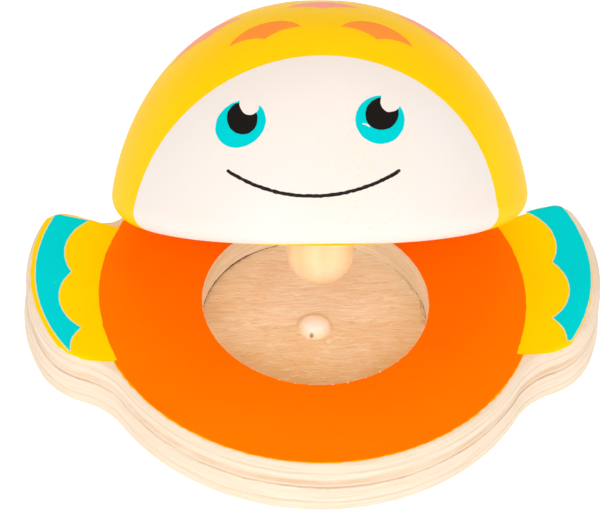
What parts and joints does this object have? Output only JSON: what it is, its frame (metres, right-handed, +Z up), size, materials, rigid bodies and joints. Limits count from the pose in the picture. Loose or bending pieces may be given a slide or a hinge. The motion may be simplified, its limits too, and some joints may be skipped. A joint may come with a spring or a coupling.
{
  "type": "hand castanet",
  "caption": "Wooden toddler's castanet: a finned plywood base with a round recess, and a half-dome head with a face and a clapper peg, hinged open by an elastic cord.",
  "frame": {"origin": "centre of the disc on the underside of the base", "axes": "+Z up; -Y towards the open mouth and the face; +X along the hinge line, from fin to fin"},
  "size_m": [0.0776, 0.066, 0.0493],
  "materials": {
    "bare_plywood": "bare sanded plywood, plies showing at the edge",
    "printed_plywood": "plywood with an orange, yellow and turquoise print on its top",
    "cream_wood": "smooth pale cream hardwood dowel",
    "lacquered_wood": "satin yellow lacquer with a printed white face",
    "elastic": "round braided elastic, off-white"
  },
  "bodies": {
    "base": {"lower_board": "bare_plywood", "upper_board": "printed_plywood", "strike_stud": "cream_wood", "elastic_cord": "elastic"},
    "head": {"head": "lacquered_wood", "clapper_peg": "cream_wood"}
  },
  "joints": [
    {"name": "head_hinge", "type": "hinge", "parent": "base", "child": "head", "pos_m": [0, 0.019, 0.00882], "axis": [1, 0, 0], "range_deg": [0, 20.5], "stiffness_Nm_per_rad": 0.02, "springref_deg": -22.92, "deforming": ["elastic_cord"]}
  ]
}
